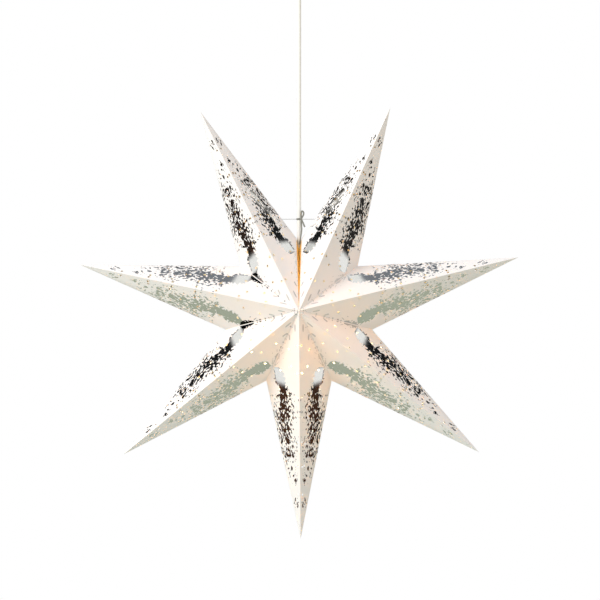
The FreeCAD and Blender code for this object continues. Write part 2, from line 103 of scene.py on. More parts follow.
def pvc_sheath():
    """Extruded soft PVC: even white, satin, with faint ripples of 6 mm from the extruder."""
    made, tree = new_material("pvc_sheath")
    place = add_node(tree, "ShaderNodeTexCoord")
    ripple = add_node(tree, "ShaderNodeTexNoise", Vector=place.outputs["Object"], Scale=160.0, Detail=2.0)
    bump = add_node(tree, "ShaderNodeBump", Strength=0.15, Distance=0.0003, Height=ripple.outputs["Fac"])
    skin = add_node(tree, "ShaderNodeBsdfPrincipled", Base_Color=linear("#eceae4"), Roughness=0.38,
                    IOR=1.53, Normal=bump.outputs["Normal"])
    add_node(tree, "ShaderNodeOutputMaterial", Surface=skin.outputs[0])
    return made


CABLE_DIAMETER = 0.0056
CABLE_ENDS = [(0.0, 0.0, -0.442), (0.0, 0.0, -0.038)]
cable_curve = bpy.data.curves.new("cable", "CURVE")
cable_curve.dimensions = "3D"
cable_line = cable_curve.splines.new("NURBS")
cable_line.points.add(len(CABLE_ENDS) - 1)
for point, place in zip(cable_line.points, CABLE_ENDS):
    point.co = (*place, 1.0)
cable_line.order_u = 3
cable_line.use_endpoint_u = True
cable_curve.bevel_depth = CABLE_DIAMETER / 2
cable_curve.bevel_resolution = 8
cable_curve.use_fill_caps = True
cable_curve.resolution_u = 12
cable_curve.materials.append(pvc_sheath())
cable = bpy.data.objects.new("lamp_cable", cable_curve)
bpy.context.scene.collection.objects.link(cable)
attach(cable, "pendant")
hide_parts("cable")

# Cable cores
# Two stranded copper cores in coloured PVC, bared inside the ceiling cup and led from the
# cable's end into the terminal block: brown for live, blue for neutral.


def pvc_core(name, colour):
    """Extruded thin PVC: strong even colour, glossy, dented every 1.4 mm by the strands below."""
    made, tree = new_material(name)
    place = add_node(tree, "ShaderNodeTexCoord")
    strands = add_node(tree, "ShaderNodeTexNoise", Vector=place.outputs["Object"], Scale=700.0, Detail=1.0)
    bump = add_node(tree, "ShaderNodeBump", Strength=0.3, Distance=0.0002, Height=strands.outputs["Fac"])
    skin = add_node(tree, "ShaderNodeBsdfPrincipled", Base_Color=linear(colour), Roughness=0.28, IOR=1.53,
                    Normal=bump.outputs["Normal"])
    add_node(tree, "ShaderNodeOutputMaterial", Surface=skin.outputs[0])
    return made


def dress(node, material):
    """Give a carried-over piece its finish in every slot."""
    piece = bpy.data.objects[node]
    if not piece.data.materials:
        piece.data.materials.append(material)
    for slot in piece.material_slots:
        slot.material = material


dress("core_wire_live", pvc_core("pvc_core_brown", "#5c3a20"))
dress("core_wire_neutral", pvc_core("pvc_core_blue", "#2c5fae"))

# Lampholder
# Two moulded polypropylene halves that screw together round a ceramic contact block, with a
# rolled nickel-plated thread shell, a brass spring contact, and a grip nut on the cable.


def moulded(name, colour, roughness):
    """Injection-moulded plastic: flow marks of 20 mm in the gloss, and a spark-eroded grain.

    The real grain of 0.1 mm is too fine to show, so it is drawn at 0.7 mm.
    """
    made, tree = new_material(name)
    place = add_node(tree, "ShaderNodeTexCoord")
    flow = add_node(tree, "ShaderNodeTexNoise", Vector=place.outputs["Object"], Scale=45.0, Detail=3.0)
    gloss = add_node(tree, "ShaderNodeMapRange", Value=flow.outputs["Fac"], From_Min=0.3, From_Max=0.7,
                     To_Min=roughness - 0.05, To_Max=roughness + 0.08)
    grain = add_node(tree, "ShaderNodeTexNoise", Vector=place.outputs["Object"], Scale=1400.0, Detail=2.0)
    bump = add_node(tree, "ShaderNodeBump", Strength=0.12, Distance=0.0001, Height=grain.outputs["Fac"])
    skin = add_node(tree, "ShaderNodeBsdfPrincipled", Base_Color=linear(colour), Roughness=gloss.outputs[0],
                    IOR=1.5, Normal=bump.outputs["Normal"])
    add_node(tree, "ShaderNodeOutputMaterial", Surface=skin.outputs[0])
    return made


def steatite():
    """Pressed and fired steatite, unglazed: off-white, dry, with grey grains of 0.5 mm."""
    made, tree = new_material("steatite")
    place = add_node(tree, "ShaderNodeTexCoord")
    grains = add_node(tree, "ShaderNodeTexNoise", Vector=place.outputs["Object"], Scale=2200.0, Detail=2.0)
    colour = add_node(tree, "ShaderNodeValToRGB", Fac=grains.outputs["Fac"])
    colour.color_ramp.elements[0].position = 0.30
    colour.color_ramp.elements[0].color = linear("#c9c4b8")
    colour.color_ramp.elements[1].position = 0.42
    colour.color_ramp.elements[1].color = linear("#ece8de")
    bump = add_node(tree, "ShaderNodeBump", Strength=0.25, Distance=0.0001, Height=grains.outputs["Fac"])
    body = add_node(tree, "ShaderNodeBsdfPrincipled", Base_Color=colour.outputs[0], Roughness=0.72, IOR=1.6,
                    Normal=bump.outputs["Normal"])
    add_node(tree, "ShaderNodeOutputMaterial", Surface=body.outputs[0])
    return made


def plated(name, bright, dull, roughness, line_scale, metallic=1.0):
    """Plated or turned metal: rings left by the tool, and duller patches of 8 mm.

    The real rings are 0.1 mm apart, too fine to show, so they are drawn 0.7 to 1.1 mm apart.
    """
    made, tree = new_material(name)
    place = add_node(tree, "ShaderNodeTexCoord")
    flat = add_node(tree, "ShaderNodeMapping", Vector=place.outputs["Object"], Scale=(0.06, 0.06, 1.0))
    rings = add_node(tree, "ShaderNodeTexNoise", Vector=flat.outputs[0], Scale=line_scale, Detail=2.0)
    patches = add_node(tree, "ShaderNodeTexNoise", Vector=place.outputs["Object"], Scale=120.0, Detail=3.0)
    colour = add_node(tree, "ShaderNodeMix", {"data_type": "RGBA"}, Factor=patches.outputs["Fac"],
                      _6=linear(dull), _7=linear(bright))
    gloss = add_node(tree, "ShaderNodeMapRange", Value=patches.outputs["Fac"], From_Min=0.3, From_Max=0.7,
                     To_Min=roughness + 0.08, To_Max=roughness)
    bump = add_node(tree, "ShaderNodeBump", Strength=0.15, Distance=0.0001, Height=rings.outputs["Fac"])
    metal = add_node(tree, "ShaderNodeBsdfPrincipled", Base_Color=colour.outputs[2], Metallic=metallic,
                     Roughness=gloss.outputs[0], Normal=bump.outputs["Normal"])
    add_node(tree, "ShaderNodeOutputMaterial", Surface=metal.outputs[0])
    return made


WHITE_PLASTIC = moulded("moulded_polypropylene", "#efeeea", 0.34)
NICKEL = plated("nickel_plated_brass", "#d9d5cc", "#bdb8ae", 0.20, 1500.0)
BRASS = plated("turned_brass", "#d0a860", "#b48a45", 0.26, 1500.0)
ZINC = plated("zinc_plated_steel", "#d2d6da", "#b4b8bc", 0.42, 900.0, metallic=0.7)
for holder_part in ("holder_cap", "holder_skirt", "cable_grip"):
    dress(holder_part, WHITE_PLASTIC)
dress("contact_block", steatite())
dress("thread_shell", NICKEL)
dress("centre_contact", BRASS)
dress("grip_screw", ZINC)

# Opal globe bulb
# Blown opal glass globe on a moulded collar with a nickel-plated screw cap; the glass
# glows warm white, brightest at its crown and dimmer towards the collar.
CROWN_GLOW = 600.0
SIDE_GLOW = 18.0
CROWN_DEPTH = 0.012
GLOBE_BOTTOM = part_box("bulb_globe")[0][2]
CHIP_PITCH = 0.0042
CHIP_REACH = 0.3


def lit_opal_glass():
    """Blown opal glass lit from within: warm white, smooth, far brighter in the crown's lowest part."""
    made, tree = new_material("lit_opal_glass")
    place = add_node(tree, "ShaderNodeTexCoord")
    height = add_node(tree, "ShaderNodeSeparateXYZ", Vector=place.outputs["Object"])
    crown = add_node(tree, "ShaderNodeMapRange", Value=height.outputs["Z"], From_Min=GLOBE_BOTTOM,
                     From_Max=GLOBE_BOTTOM + CROWN_DEPTH, To_Min=CROWN_GLOW, To_Max=SIDE_GLOW)
    shine = add_node(tree, "ShaderNodeBsdfPrincipled", Base_Color=linear("#fff3e0"), Roughness=0.25,
                     IOR=1.52, Emission_Color=linear("#ffe6ac"), Emission_Strength=crown.outputs[0])
    add_node(tree, "ShaderNodeOutputMaterial", Surface=shine.outputs[0])
    return made


def led_board():
    """White lacquered aluminium board with a square grid of yellow phosphor chips."""
    made, tree = new_material("led_board")
    place = add_node(tree, "ShaderNodeTexCoord")
    grid = add_node(tree, "ShaderNodeTexVoronoi", {"distance": "CHEBYCHEV", "voronoi_dimensions": "2D"},
                    Vector=place.outputs["Object"], Scale=1 / CHIP_PITCH, Randomness=0.0)
    chip = add_node(tree, "ShaderNodeMath", {"operation": "LESS_THAN"}, _0=grid.outputs["Distance"],
                    _1=CHIP_REACH)
    colour = add_node(tree, "ShaderNodeMix", {"data_type": "RGBA"}, Factor=chip.outputs[0],
                      _6=linear("#eeeeea"), _7=linear("#f0cf4a"))
    face = add_node(tree, "ShaderNodeBsdfPrincipled", Base_Color=colour.outputs[2], Roughness=0.4)
    add_node(tree, "ShaderNodeOutputMaterial", Surface=face.outputs[0])
    return made


dress("bulb_globe", lit_opal_glass())
dress("bulb_housing", moulded("moulded_warm_white_polymer", "#f0ece2", 0.30))
dress("bulb_cap", NICKEL)
dress("bulb_tip", NICKEL)
dress("bulb_led_disc", led_board())

# Seven folded paper arms
# Die-cut white card with silver foil stamped on its outside and rows of punched holes,
# folded along the ridges, glued to the next arm along inner flanges.
ARM_NAMES = ["bottom", "lower_right", "right", "upper_right", "upper_left", "left", "lower_left"]
SECTOR = math.tau / len(ARM_NAMES)
SEAM_SLOPE = math.tan(SECTOR / 2)
TIP = 0.300
# Each arm's lean in degrees and how far its tip goes past TIP, in the order of the names.
TIP_LEAN = (0.4, 0.85, 1.4, 1.75, 0.4, 0.4, 0.3)
TIP_STRETCH = (0.0050, 0.0070, 0.0060, 0.0040, 0.0040, 0.0040, 0.0045)
HALF_DEPTH = 0.090
# Radius and depth of the straight valley's end and of the band's shoulder, in the seam plane.
VALLEY = (0.0777, 0.030)
SHOULDER = (0.1014, 0.0100)
NOTCH = 0.1014
CARD = 0.00035
FLANGE = 0.012
FLANGE_START = 0.006
FLANGE_INSET = CARD * 0.6
BAND_MIDDLE = 0.0577
# Within this depth of the middle plane an open seam's flange doesn't lean, to miss the cable.
CABLE_ROOM = 0.006
TOP_GAPE = math.radians(2.1)
BAND_STEPS = 5
HOLE_RADIUS = 0.0016
HOLE_SIDES = 12
PIN_LENGTH = 0.004
# Rows of holes on a face: first hole, spacing, number, and share of the arm's half width.
HOLE_ROWS = (
    (0.048, 0.033, 7, 0.10), (0.078, 0.031, 5, 0.34),
    (0.055, 0.026, 5, 0.64), (0.122, 0.060, 2, 0.84),
)
HOLE_DRIFT = (0.006, 0.002)
HOLE_FROM_RIDGE = 0.003


def seam_profile():
    """Cut edge in a seam plane as (radius, depth): straight valley, then a round band."""
    front = [(0.0, HALF_DEPTH)]
    for step in range(BAND_STEPS + 1):
        t = step / BAND_STEPS
        ease = (1 - t) ** 2, 2 * t * (1 - t), t ** 2
        radius = ease[0] * VALLEY[0] + ease[1] * SHOULDER[0] + ease[2] * NOTCH
        depth = ease[0] * VALLEY[1] + ease[1] * SHOULDER[1]
        front.append((radius, depth))
    return front + [(radius, -depth) for radius, depth in front[-2::-1]]


def in_arm(radius, turn, depth):
    """Place in an arm's own frame: X along the arm, Y across, Z towards the front."""
    return Vector((radius * math.cos(turn), radius * math.sin(turn), depth))


def sheet_surface(name, tip, right_turn, left_turn):
    """Outside surface of one folded arm between its two seam edges."""
    bpy.ops.object.select_all(action="DESELECT")
    profile = seam_profile()
    places = [Vector((tip, 0, 0))]
    for turn in (-right_turn, left_turn):
        places += [in_arm(radius, turn, depth) for radius, depth in profile]
    count = len(profile)
    faces = []
    for side in range(2):
        first = 1 + side * count
        for step in range(count - 1):
            pair = (first + step, first + step + 1)
            faces.append((0, *pair) if side == 1 else (0, *pair[::-1]))
    mesh = bpy.data.meshes.new(name)
    mesh.from_pydata(places, [], faces)
    arm = bpy.data.objects.new(name, mesh)
    bpy.context.scene.collection.objects.link(arm)
    bpy.context.view_layer.objects.active = arm
    arm.select_set(True)
    bpy.ops.object.mode_set(mode="EDIT")
    bpy.ops.mesh.select_all(action="SELECT")
    bpy.ops.mesh.remove_doubles(threshold=0.00001)
    bpy.ops.mesh.normals_make_consistent(inside=False)
    bpy.ops.object.mode_set(mode="OBJECT")
    return arm


OUTLINE_TAPER = NOTCH * math.sin(SECTOR / 2) / (TIP - NOTCH * math.cos(SECTOR / 2))


def hole_places():
    """Hole centres on one face, each a little off its row's even spacing, as punched by hand."""
    dice = random.Random(7)
    places = []
    for start, step, count, share in HOLE_ROWS:
        for index in range(count):
            x = start + index * step + dice.uniform(-HOLE_DRIFT[0], HOLE_DRIFT[0])
            half_width = min(x * SEAM_SLOPE, (TIP - x) * OUTLINE_TAPER)
            y = share * half_width + dice.uniform(-HOLE_DRIFT[1], HOLE_DRIFT[1])
            places.append((x, max(y, HOLE_FROM_RIDGE)))
    return places


def front_plane(tip, turn):
    """Normal of the flat front face whose valley lies at this turn from the ridge."""
    apex = Vector((0, 0, HALF_DEPTH))
    ridge = Vector((tip, 0, 0)) - apex
    valley = in_arm(VALLEY[0], turn, VALLEY[1]) - apex
    normal = ridge.cross(valley).normalized()
    return normal if normal.z > 0 else -normal


def punches(tip, right_turn, left_turn):
    """All the punch pins of one arm, joined in one mesh."""
    pins = []
    for turn in (-right_turn, left_turn):
        normal = front_plane(tip, turn)
        for x, y in hole_places():
            side = math.copysign(1, turn)
            z = HALF_DEPTH - (normal.x * x + normal.y * side * y) / normal.z
            for face in (1, -1):
                way = Vector((normal.x, normal.y, face * normal.z))
                centre = Vector((x, side * y, face * z))
                spin = way.to_track_quat("Z", "Y").to_matrix().to_4x4()
                pins.append(Matrix.Translation(centre) @ spin)
    bpy.ops.object.select_all(action="DESELECT")
    bpy.ops.mesh.primitive_cylinder_add(vertices=HOLE_SIDES, radius=HOLE_RADIUS, depth=PIN_LENGTH)
    pin = bpy.context.object
    copies = []
    for place in pins:
        copy = pin.copy()
        copy.data = pin.data.copy()
        bpy.context.scene.collection.objects.link(copy)
        copy.data.transform(place)
        copies.append(copy)
    bpy.data.objects.remove(pin)
    bpy.ops.object.select_all(action="DESELECT")
    for copy in copies:
        copy.select_set(True)
    bpy.context.view_layer.objects.active = copies[0]
    bpy.ops.object.join()
    return bpy.context.object


def apply_modifier(piece, kind, **settings):
    """Add a modifier with its settings and apply it."""
    bpy.ops.object.select_all(action="DESELECT")
    bpy.context.view_layer.objects.active = piece
    piece.select_set(True)
    made = piece.modifiers.new(kind.lower(), kind)
    for key, value in settings.items():
        setattr(made, key, value)
    bpy.ops.object.modifier_apply(modifier=made.name)


class Amount:
    """Number that a node gives: sums on it are written as in Python and add Math nodes."""

    def __init__(self, tree, socket):
        self.tree = tree
        self.socket = socket

    def reckon(self, operation, *others):
        """Any Math operation with this number first."""
        sockets = [value.socket if isinstance(value, Amount) else value for value in (self, *others)]
        numbered = {"_%d" % index: socket for index, socket in enumerate(sockets)}
        made = add_node(self.tree, "ShaderNodeMath", {"operation": operation}, **numbered)
        return Amount(self.tree, made.outputs[0])

    def __add__(self, other):
        return self.reckon("ADD", other)

    def __sub__(self, other):
        return self.reckon("SUBTRACT", other)

    def __rsub__(self, other):
        return self.reckon("MULTIPLY_ADD", -1.0, other)

    def __mul__(self, other):
        return self.reckon("MULTIPLY", other)

    def __truediv__(self, other):
        return self.reckon("DIVIDE", other)

    def __lt__(self, other):
        return self.reckon("LESS_THAN", other)

    def __gt__(self, other):
        return self.reckon("GREATER_THAN", other)

    def __or__(self, other):
        return self.reckon("MAXIMUM", other)

    def fade(self, low, high, start=0.0, end=1.0):
        """Runs from start to end between two values of this number and stays level outside them."""
        made = add_node(self.tree, "ShaderNodeMapRange", Value=self.socket, From_Min=low, From_Max=high,
                        To_Min=start, To_Max=end)
        return Amount(self.tree, made.outputs[0])

    def bell(self):
        """One where this number is nought, falling off to either side."""
        return (self * self * -1.0).reckon("EXPONENT")


CLUSTER_START = 0.219
CLUSTER_PITCH = 0.033


def fleck_cover(x, share, patches, specks):
    """Foil flecks: a dense core along the middle of the face, a cloud round it, then loose clusters.

    In this and the next functions x is the distance from the star's middle along the arm, in
    metres, and share runs from 0 at the ridge to 1 at the arm's edge.
    """
    off_core = share - x.fade(0.096, 0.136, 0.46, 0.61)
    core = (off_core / x.fade(0.098, 0.150, 0.08, 0.14)).bell()
    cloud = (off_core / x.fade(0.095, 0.130, 0.20, 0.66)).bell()
    core_along = x.fade(0.090, 0.100) * x.fade(0.130, 0.195, 0.48, 0.0)
    cloud_along = x.fade(0.092, 0.112) * x.fade(0.186, 0.222, 0.82, 0.0)
    rings = ((x - CLUSTER_START) * (math.tau / CLUSTER_PITCH)).reckon("COSINE")
    loose = rings.fade(-1.0, 1.0, 0.20, 0.66) * x.fade(0.262, 0.290, 1.0, 0.5)
    off_ridge = share.fade(0.10, 0.25) * share.fade(0.80, 0.95, 1.0, 0.2)
    clusters = loose * off_ridge * x.fade(0.196, 0.206)
    dense = core * core_along + (cloud * cloud_along + clusters)
    level = dense.fade(0.0, 1.0, 0.15, 0.59) + patches * dense.fade(0.0, 0.25, 0.0, 0.34)
    return (level - specks).fade(-0.008, 0.008)


STREAK_SLOPE = -0.257
STREAK_START_Y = 0.0484
STREAK_END = 0.108


def streak_cover(x, off_line, ragged, print_and_shade):
    """One solid streak of foil beside the band, ragged along both sides."""
    half = x.fade(0.070, 0.084, 0.0032, 0.0064) - x.fade(0.094, STREAK_END, 0.0, 0.0030)
    start = print_and_shade.fade(0.6, 1.0, 0.0740, 0.0680)
    across = off_line.reckon("ABSOLUTE") < ragged * 0.013 + half
    return across * ((x > start) * (x < STREAK_END))


SHOOT_PITCH = 0.0120
SHOOT_HALF = 0.0006
SHOOT_ZONE = (0.054, 0.078)
STEM_END = 0.0735


def twig_cover(x, from_seam, patches, ragged, print_and_shade):
    """A twig along each seam that thickens towards the valley's end, with short slanting shoots."""
    foot = x.fade(0.056, 0.069, 0.0, 0.0019) * print_and_shade.fade(0.4, 1.0, 0.3, 1.7)
    half = x.fade(0.036, 0.064, 0.0004, 0.0018) + foot
    stem = (from_seam < ragged * 0.012 + half) * (x < STEM_END)
    slanted = patches * 0.009 + (from_seam * 1.3 + x)
    shoots = slanted.reckon("PINGPONG", SHOOT_PITCH / 2) < SHOOT_HALF
    reach = (from_seam < ragged * 0.02 + 0.0050) * ((x > SHOOT_ZONE[0]) * (x < SHOOT_ZONE[1]))
    return stem | shoots * reach


STROKE_ZONE = (0.017, 0.038)
STROKE_CELL = 0.16
STROKE_TONE = 0.35


def stroke_cover(x, share, mirrored):
    """Sparse pen strokes of 10 mm near the star's middle, all slanting one way."""
    slant = add_node(x.tree, "ShaderNodeMapping", {"vector_type": "POINT"}, Vector=mirrored,
                     Rotation=(0.0, 0.0, 0.5), Scale=(0.8, 4.6, 1.0))
    cells = add_node(x.tree, "ShaderNodeTexVoronoi", {"voronoi_dimensions": "2D"}, Vector=slant.outputs[0],
                     Scale=38.0)
    zone = (x > STROKE_ZONE[0]) * (x < STROKE_ZONE[1]) * (share > 0.25)
    return (Amount(x.tree, cells.outputs["Distance"]) < STROKE_CELL) * zone


def lit_board(tree, place, board_colour, roughness, tooth_depth, light_colour, light_share):
    """Card's own surface, with a fibrous tooth of 1 mm, and its share of the light from behind."""
    fibre = add_node(tree, "ShaderNodeTexNoise", Vector=place, Scale=900.0, Detail=3.0)
    tooth = add_node(tree, "ShaderNodeBump", Strength=tooth_depth, Distance=0.0002,
                     Height=fibre.outputs["Fac"])
    board = add_node(tree, "ShaderNodeBsdfPrincipled", Base_Color=linear(board_colour), Roughness=roughness,
                     IOR=1.5, Normal=tooth.outputs["Normal"])
    glow = add_node(tree, "ShaderNodeBsdfTranslucent", Color=linear(light_colour))
    return add_node(tree, "ShaderNodeMixShader", Fac=light_share, _1=board.outputs[0],
                    _2=glow.outputs[0])


BARE_SEAM = 0.0006


def printed_card():
    """Outside of the card: matt coated board with stamped silver foil.

    Board lets some of the bulb's light through; foil is a mirror and lets none through.
    The print is mirrored at the ridge: strokes near the middle, a twig beside the seam, a
    solid streak from the valley's end, then flecks of 2.5 mm that thin out towards the tip.
    At some seams the twig's foil is painted dark grey as painted shade, and at the others it is thin and
    pale.
    """
    made, tree = new_material("foil_stamped_card")
    place = add_node(tree, "ShaderNodeAttribute", {"attribute_name": "arm_place"}).outputs["Vector"]
    split = add_node(tree, "ShaderNodeSeparateXYZ", Vector=place)
    seam = add_node(tree, "ShaderNodeAttribute", {"attribute_name": "seam_stain"})
    x = Amount(tree, split.outputs["X"])
    y = Amount(tree, split.outputs["Y"]).reckon("ABSOLUTE")
    z = split.outputs["Z"]
    print_and_shade = Amount(tree, seam.outputs["Fac"])
    to_seam = x * SEAM_SLOPE
    from_seam = (to_seam - y) * math.cos(SECTOR / 2)
    share = y / to_seam.reckon("MINIMUM", (TIP - x) * OUTLINE_TAPER)
    off_line = y - (x * STREAK_SLOPE + STREAK_START_Y)

    # Noise cells of 2.5 mm, longer along the arm, for flecks; of 17 mm for patches; of 3 mm for edges.
    mirrored = add_node(tree, "ShaderNodeCombineXYZ", X=x.socket, Y=y.socket, Z=z).outputs[0]
    drawn_out = add_node(tree, "ShaderNodeCombineXYZ", X=(x * 0.6).socket, Y=y.socket, Z=z).outputs[0]
    speck_noise = add_node(tree, "ShaderNodeTexNoise", Vector=drawn_out, Scale=400.0, Detail=1.0)
    patch_noise = add_node(tree, "ShaderNodeTexNoise", Vector=mirrored, Scale=60.0, Detail=1.5)
    edge_noise = add_node(tree, "ShaderNodeTexNoise", Vector=mirrored, Scale=300.0, Detail=2.0)
    specks = Amount(tree, speck_noise.outputs["Fac"])
    patches = Amount(tree, patch_noise.outputs["Fac"]) - 0.5
    ragged = Amount(tree, edge_noise.outputs["Fac"]) - 0.5

    twig = twig_cover(x, from_seam, patches, ragged, print_and_shade)
    strokes = stroke_cover(x, share, mirrored)
    faint = twig * print_and_shade.fade(0.35, 1.0, 0.18, 1.0) | strokes * STROKE_TONE
    full = fleck_cover(x, share, patches, specks) | streak_cover(x, off_line, ragged, print_and_shade)
    cover = (full | faint) * (from_seam > BARE_SEAM)

    curl = off_line * 0.30 * (x.fade(0.068, 0.078) * x.fade(0.088, 0.103, 1.0, 0.0))
    bowed = add_node(tree, "ShaderNodeBump", Strength=1.0, Distance=1.0, Height=curl.socket)
    crumple = add_node(tree, "ShaderNodeTexNoise", Vector=mirrored, Scale=60.0, Detail=2.0)
    wave = add_node(tree, "ShaderNodeBump", Strength=0.25, Distance=0.0006, Height=crumple.outputs["Fac"],
                    Normal=bowed.outputs["Normal"])
    # Painted shade: the twig's foil is darkened towards dark grey by its seam's value.
    foil_painted_shade = add_node(tree, "ShaderNodeMix", {"data_type": "RGBA"}, Factor=(twig * print_and_shade).socket,
                      _6=linear("#f1f0ee"), _7=linear("#30302e"))
    foil = add_node(tree, "ShaderNodeBsdfPrincipled", Base_Color=foil_painted_shade.outputs[2], Metallic=1.0,
                    Roughness=0.14, Normal=wave.outputs["Normal"])
    paper = lit_board(tree, place, "#f8f7f5", 0.62, 0.12, "#ffca5c", 0.15)
    whole = add_node(tree, "ShaderNodeMixShader", Fac=cover.socket, _1=paper.outputs[0], _2=foil.outputs[0])
    add_node(tree, "ShaderNodeOutputMaterial", Surface=whole.outputs[0])
    return made


def plain_card(name, board_colour, light_colour, light_share):
    """Card without print: uncoated board that passes warm light."""
    made, tree = new_material(name)
    place = add_node(tree, "ShaderNodeTexCoord")
    paper = lit_board(tree, place.outputs["Object"], board_colour, 0.75, 0.15, light_colour, light_share)
    add_node(tree, "ShaderNodeOutputMaterial", Surface=paper.outputs[0])
    return made


def flange_strip(turn, gape):
    """Glue flange folded in along one seam; at an open seam its inner edge leans to the middle.

    It starts beside the apex, follows the valley and then the band, and keeps one width all along.
    """
    profile = seam_profile()
    slope = (HALF_DEPTH - VALLEY[1]) / VALLEY[0]
    start_depth = HALF_DEPTH - slope * FLANGE_START
    outer = [(FLANGE_START, start_depth)] + profile[1:-1] + [(FLANGE_START, -start_depth)]
    drop = FLANGE * math.hypot(1, slope)
    band_middle = Vector((BAND_MIDDLE, 0.0))
    inner = []
    for radius, depth in outer:
        if radius == FLANGE_START:
            inner.append((radius, depth - math.copysign(drop, depth)))
        else:
            away = (Vector((radius, depth)) - band_middle).normalized()
            inner.append(tuple(Vector((radius, depth)) - away * FLANGE))
    across = Vector((-math.sin(turn), math.cos(turn), 0)) * math.copysign(FLANGE_INSET, -turn)
    count = len(outer)
    places = [in_arm(radius, turn, depth) + across for radius, depth in outer]
    for radius, depth in inner:
        beside_cable = abs(depth) < CABLE_ROOM
        inner_turn = turn if beside_cable else turn + math.copysign(gape, turn)
        places.append(in_arm(radius, inner_turn, depth) + across)
    faces = [(i, i + 1, count + i + 1, count + i) for i in range(count - 1)]
    mesh = bpy.data.meshes.new("flange")
    mesh.from_pydata(places, [], faces)
    strip = bpy.data.objects.new("flange", mesh)
    bpy.context.scene.collection.objects.link(strip)
    return strip


CARD_OUTSIDE = printed_card()
CARD_INSIDE = plain_card("bare_card", "#f4f1ea", "#ffefd2", 0.30)
# At the glued flanges the card's own colour is painted yellow as a painted glow from the bulb, and the
# light through it is deep orange.
FLANGE_CARD_PAINTED_GLOW = plain_card("flange_card_painted_glow", "#f0da9c", "#ffe9a6", 0.7)


def paper_arm(name, tip, right_turn, left_turn, right_gape, left_gape):
    """One arm in its own frame: folded sheet with thickness, holes and flanges."""
    arm = sheet_surface(name, tip, right_turn, left_turn)
    arm.data.materials.append(CARD_OUTSIDE)
    arm.data.materials.append(CARD_INSIDE)
    apply_modifier(arm, "SOLIDIFY", thickness=CARD, offset=-1.0, material_offset=1, material_offset_rim=1)
    pins = punches(tip, right_turn, left_turn)
    pins.data.materials.clear()
    pins.data.materials.append(CARD_INSIDE)
    apply_modifier(arm, "BOOLEAN", operation="DIFFERENCE", object=pins, solver="EXACT",
                   material_mode="TRANSFER")
    bpy.data.objects.remove(pins)
    strips = [flange_strip(-right_turn, right_gape), flange_strip(left_turn, left_gape)]
    for strip in strips:
        strip.data.materials.append(FLANGE_CARD_PAINTED_GLOW)
        apply_modifier(strip, "SOLIDIFY", thickness=CARD, offset=0.0)
    bpy.ops.object.select_all(action="DESELECT")
    for part in [arm] + strips:
        part.select_set(True)
    bpy.context.view_layer.objects.active = arm
    bpy.ops.object.join()
    return arm


# How strongly the twig and streak are printed at the seam between each arm and the next, and how dark the
# twig's foil is painted there as painted shade, in the arms' order.
SEAM_PRINT_AND_SHADE = (0.45, 0.60, 0.40, 0.0, 1.0, 1.0, 0.40)


def store_print_place(arm, index, tip, right_turn, left_turn):
    """Keep each point's place on the unfolded print, before the arm leans or stretches."""
    arm.data.attributes.new("arm_place", "FLOAT_VECTOR", "POINT")
    arm.data.attributes.new("seam_stain", "FLOAT", "POINT")
    place = arm.data.attributes["arm_place"]
    print_and_shade = arm.data.attributes["seam_stain"]
    shrink = TIP / tip
    for vertex in arm.data.vertices:
        x, y, z = vertex.co
        turn = left_turn if y > 0 else right_turn
        shift = (math.cos(SECTOR / 2) - math.cos(turn) * shrink) / math.sin(turn)
        stretch = math.sin(SECTOR / 2) / math.sin(turn)
        place.data[vertex.index].vector = (x * shrink + abs(y) * shift, y * stretch, z)
        # Each point also keeps its seam's print weight and painted shade.
        print_and_shade.data[vertex.index].value = SEAM_PRINT_AND_SHADE[index if y > 0 else index - 1]


def arm_matrix(turn):
    """From an arm's own frame to the lamp's: front looks along -Y."""
    stand = Matrix(((1, 0, 0, 0), (0, 0, -1, 0), (0, 1, 0, 0), (0, 0, 0, 1)))
    spin = Matrix.Rotation(-turn, 4, "Y")
    return Matrix.Translation(STAR_CENTRE) @ spin @ stand


for arm_index, arm_name in enumerate(ARM_NAMES):
    lean = math.radians(TIP_LEAN[arm_index])
    tip_radius = TIP + TIP_STRETCH[arm_index]
    right_open = TOP_GAPE if arm_name == "upper_left" else 0.0
    left_open = TOP_GAPE if arm_name == "upper_right" else 0.0
    right_side = SECTOR / 2 + lean - right_open
    left_side = SECTOR / 2 - lean - left_open
    arm_piece = paper_arm("paper_" + arm_name, tip_radius, right_side, left_side, right_open, left_open)
    store_print_place(arm_piece, arm_index, tip_radius, right_side, left_side)
    arm_piece.data.transform(arm_matrix(-math.pi / 2 + arm_index * SECTOR + lean))
    arm_piece.data.update()
    arm_piece.visible_glossy = False
    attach(arm_piece, "pendant")
    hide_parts("arm_" + arm_name)

# Tie string
# Twisted cotton string knotted inside one upper arm, led twice round the cable to the
# other arm and tied in a loose bow, which keeps the open top seam closed.
STRING_RADIUS = 0.0005
STRING_HEIGHT = STAR_CENTRE.z + 0.127
STRING_END = 0.0265
KNOT_RADIUS = 0.0014
STRING_PITCH = 0.0012
STRING_GAP = 0.0001
BOW_KNOT_RADIUS = 0.0016
BOW_FRONT = -0.00515
BOW_KNOT = (0.0029, BOW_FRONT, 0.0)
BOW_SWELL = 2.3


def cotton_twist():
    """Two-ply cotton: grey, matt and fuzzy, with ridges 0.7 mm apart where the plies turn."""
    made, tree = new_material("cotton_twist")
    place = add_node(tree, "ShaderNodeTexCoord")
    ply = add_node(tree, "ShaderNodeTexWave", Vector=place.outputs["Object"], Scale=420.0, Distortion=3.0)
    bump = add_node(tree, "ShaderNodeBump", Strength=0.6, Distance=0.0003, Height=ply.outputs["Fac"])
    skin = add_node(tree, "ShaderNodeBsdfPrincipled", Base_Color=linear("#86857c"), Roughness=0.9,
                    Sheen_Weight=0.3, Normal=bump.outputs["Normal"])
    add_node(tree, "ShaderNodeOutputMaterial", Surface=skin.outputs[0])
    return made


